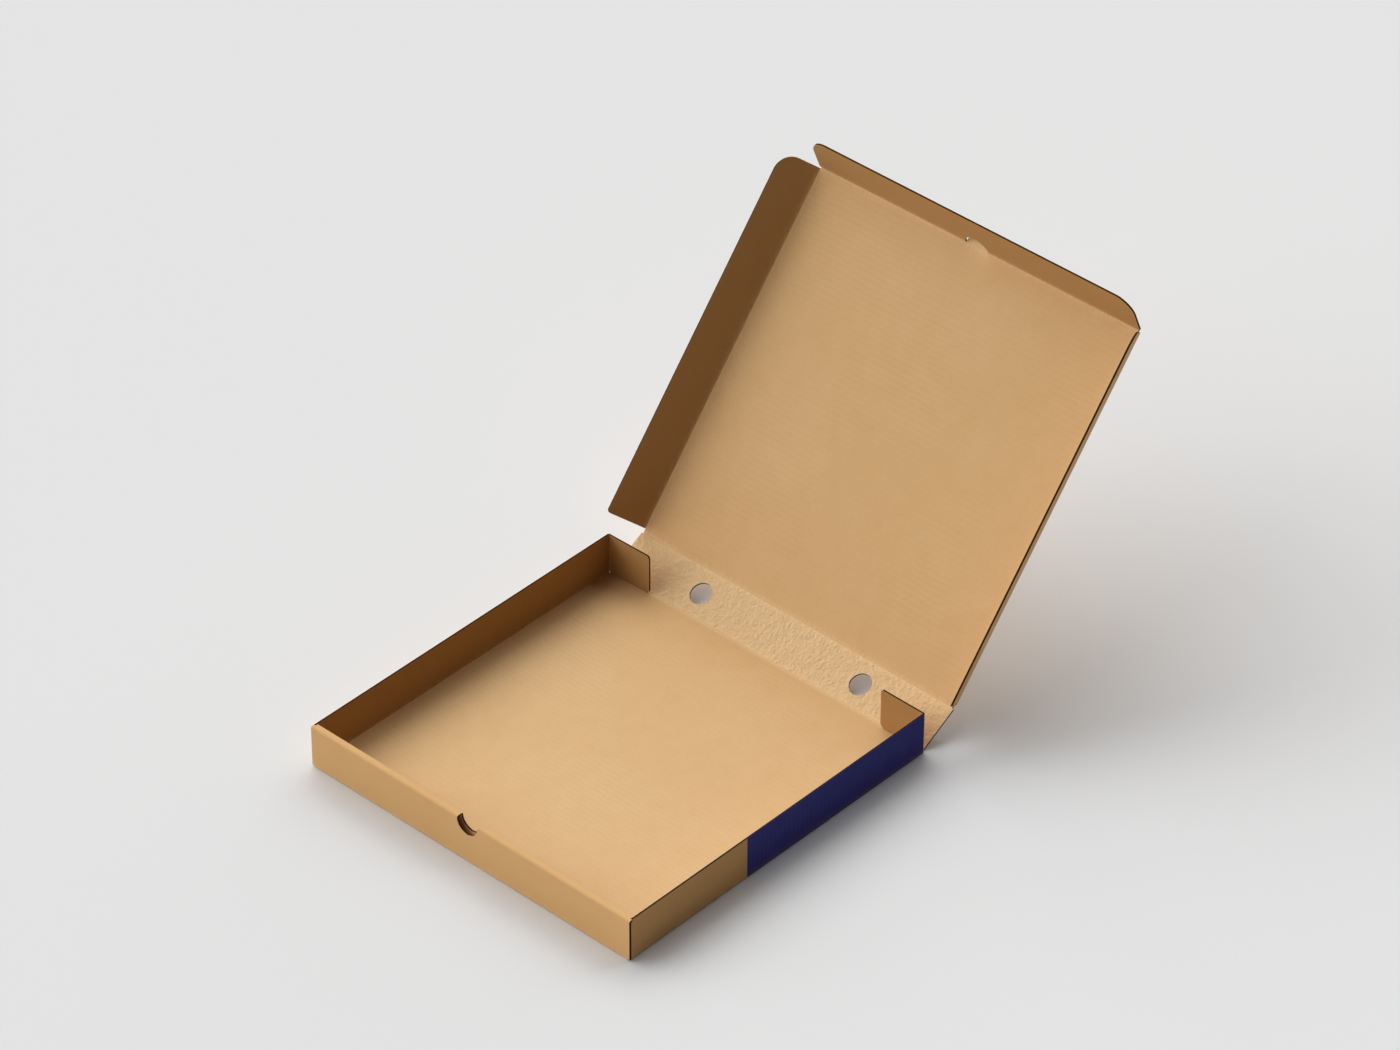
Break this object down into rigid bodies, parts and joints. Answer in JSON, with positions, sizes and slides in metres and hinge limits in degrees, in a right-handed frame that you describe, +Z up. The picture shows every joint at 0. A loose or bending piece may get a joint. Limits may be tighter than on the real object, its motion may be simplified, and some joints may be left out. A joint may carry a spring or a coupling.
{
  "type": "pizza box",
  "caption": "Open corrugated pizza box: low tray with a rolled front wall and thumb notch, vented rear wall and a hinged lid with tuck flaps.",
  "frame": {"origin": "middle of the tray's underside, halfway between the front wall and the rear fold", "axes": "+Z up from the base, +Y from the front wall towards the lid's fold, +X to the right as seen from the front"},
  "size_m": [0.361, 0.5775, 0.2998],
  "materials": {
    "board": "uncoated brown kraft liner"
  },
  "bodies": {
    "tray": {"tray": "board"},
    "rear_wall": {"rear_wall": "board"},
    "lid": {"lid": "board"},
    "lid_left_flap": {"lid_left_flap": "board"},
    "lid_right_flap": {"lid_right_flap": "board"},
    "lid_front_flap": {"lid_front_flap": "board"},
    "left_dust_flap": {"left_dust_flap": "board"},
    "right_dust_flap": {"right_dust_flap": "board"}
  },
  "joints": [
    {"name": "rear_wall_fold", "type": "hinge", "parent": "tray", "child": "rear_wall", "pos_m": [0, 0.16425, 0.00075], "axis": [1, 0, 0], "range_deg": [-28.8, 60.7]},
    {"name": "lid_fold", "type": "hinge", "parent": "rear_wall", "child": "lid", "pos_m": [0, 0.19913, 0.02033], "axis": [1, 0, 0], "range_deg": [-20.3, 69.2]},
    {"name": "lid_left_flap_fold", "type": "hinge", "parent": "lid", "child": "lid_left_flap", "pos_m": [-0.1624, 0.19913, 0.02033], "axis": [0, 0.6414, 0.7672], "range_deg": [-57, 34.5]},
    {"name": "lid_right_flap_fold", "type": "hinge", "parent": "lid", "child": "lid_right_flap", "pos_m": [0.1624, 0.19913, 0.02033], "axis": [0, -0.6414, -0.7672], "range_deg": [-63.6, 27.9]},
    {"name": "lid_front_flap_fold", "type": "hinge", "parent": "lid", "child": "lid_front_flap", "pos_m": [0, 0.40491, 0.26643], "axis": [1, 0, 0], "range_deg": [-62, 27.5]},
    {"name": "left_dust_flap_fold", "type": "hinge", "parent": "tray", "child": "left_dust_flap", "pos_m": [-0.1635, 0.1612, 0.02], "axis": [0, 0, 1], "range_deg": [-85, 0]},
    {"name": "right_dust_flap_fold", "type": "hinge", "parent": "tray", "child": "right_dust_flap", "pos_m": [0.1635, 0.1612, 0.02], "axis": [0, 0, -1], "range_deg": [-85, 0]}
  ]
}
